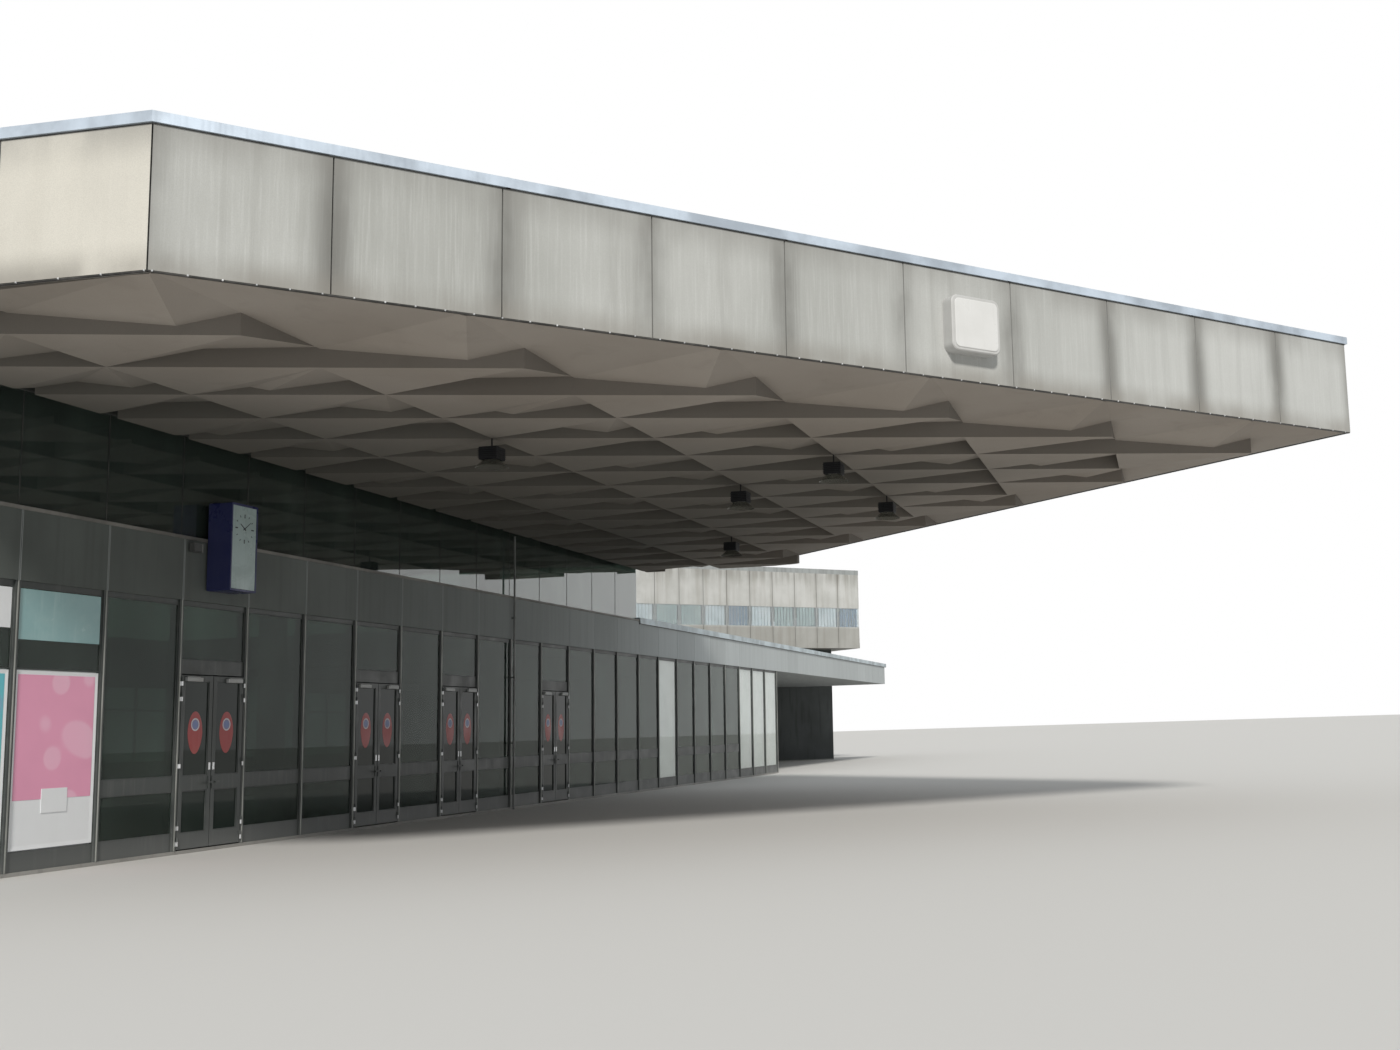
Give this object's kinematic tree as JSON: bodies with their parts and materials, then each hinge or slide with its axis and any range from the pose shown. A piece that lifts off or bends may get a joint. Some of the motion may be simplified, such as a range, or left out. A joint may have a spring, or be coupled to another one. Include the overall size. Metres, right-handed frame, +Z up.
{
  "type": "railway station building, scale model 1:2",
  "caption": "Low station hall with a pointed, folded concrete roof, a glazed front with double doors, a long low wing and an office storey turned by half a right angle",
  "frame": {"origin": "on the ground, under the middle of the hall floor", "axes": "+X along the shop front from the hall to the low wing, +Y from the forecourt into the building, +Z up"},
  "size_m": [28.4121, 15.942, 4.04],
  "materials": {
    "panel_concrete": "weathered precast concrete",
    "band_concrete": "dark grey precast concrete",
    "ceiling_concrete": "formed concrete",
    "roof_concrete": "bitumen and gravel grey",
    "office_wall_concrete": "dark textured concrete",
    "coping_metal": "dull sheet metal",
    "dark_frame": "satin dark grey coating",
    "hinge_steel": "bare steel",
    "shop_glazing": "clear glass, slightly green",
    "window_frame": "white coating",
    "poster_sheet": "printed sheet",
    "opaque_sheet": "pale sheet",
    "clock_case": "satin blue coating",
    "sign_case": "light box",
    "lamp_case": "black coating",
    "pipe_metal": "light grey coating"
  },
  "bodies": {
    "building": {"fascia_front": "panel_concrete", "fascia_rear": "panel_concrete", "office_lower_panels": "panel_concrete", "office_upper_panels": "panel_concrete", "band_front": "band_concrete", "hall_beams": "band_concrete", "wall_left": "band_concrete", "wall_back": "band_concrete", "wing_end_wall": "band_concrete", "low_roof": "band_concrete", "ceiling_folds_1": "ceiling_concrete", "ceiling_folds_2": "ceiling_concrete", "ceiling_folds_3": "ceiling_concrete", "ceiling_folds_4": "ceiling_concrete", "ceiling_slab": "ceiling_concrete", "hall_columns": "ceiling_concrete", "office_floor": "ceiling_concrete", "roof_deck": "roof_concrete", "roof_edge_beam": "roof_concrete", "office_roof": "roof_concrete", "floor_slab": "roof_concrete", "office_ground_slab": "roof_concrete", "office_walls": "office_wall_concrete", "roof_coping": "coping_metal", "band_coping": "coping_metal", "shop_frames": "dark_frame", "door_heads": "dark_frame", "door_hinges": "hinge_steel", "shop_glass": "shop_glazing", "side_windows": "shop_glazing", "clerestory_front": "shop_glazing", "clerestory_rear": "shop_glazing", "office_windows": "shop_glazing", "office_posts": "window_frame", "poster_boards": "poster_sheet", "opaque_panels": "opaque_sheet", "clock": "clock_case", "fascia_sign": "sign_case", "ceiling_lamps": "lamp_case", "downpipe": "pipe_metal"},
    "leaf_1_left": {"door_1_left": "dark_frame"},
    "leaf_1_right": {"door_1_right": "dark_frame"},
    "leaf_2_left": {"door_2_left": "dark_frame"},
    "leaf_2_right": {"door_2_right": "dark_frame"},
    "leaf_3_left": {"door_3_left": "dark_frame"},
    "leaf_3_right": {"door_3_right": "dark_frame"},
    "leaf_4_left": {"door_4_left": "dark_frame"},
    "leaf_4_right": {"door_4_right": "dark_frame"}
  },
  "joints": [
    {"name": "door_1_left_hinge", "type": "hinge", "parent": "building", "child": "leaf_1_left", "pos_m": [-2.949, -3.03, 0.55], "axis": [0, 0, -1], "range_deg": [0, 90]},
    {"name": "door_1_right_hinge", "type": "hinge", "parent": "building", "child": "leaf_1_right", "pos_m": [-2.331, -3.03, 0.55], "axis": [0, 0, 1], "range_deg": [0, 90]},
    {"name": "door_2_left_hinge", "type": "hinge", "parent": "building", "child": "leaf_2_left", "pos_m": [-0.969, -3.03, 0.55], "axis": [0, 0, -1], "range_deg": [0, 90]},
    {"name": "door_2_right_hinge", "type": "hinge", "parent": "building", "child": "leaf_2_right", "pos_m": [-0.351, -3.03, 0.55], "axis": [0, 0, 1], "range_deg": [0, 90]},
    {"name": "door_3_left_hinge", "type": "hinge", "parent": "building", "child": "leaf_3_left", "pos_m": [0.351, -3.03, 0.55], "axis": [0, 0, -1], "range_deg": [0, 90]},
    {"name": "door_3_right_hinge", "type": "hinge", "parent": "building", "child": "leaf_3_right", "pos_m": [0.969, -3.03, 0.55], "axis": [0, 0, 1], "range_deg": [0, 90]},
    {"name": "door_4_left_hinge", "type": "hinge", "parent": "building", "child": "leaf_4_left", "pos_m": [2.331, -3.03, 0.55], "axis": [0, 0, -1], "range_deg": [0, 90]},
    {"name": "door_4_right_hinge", "type": "hinge", "parent": "building", "child": "leaf_4_right", "pos_m": [2.949, -3.03, 0.55], "axis": [0, 0, 1], "range_deg": [0, 90]}
  ]
}
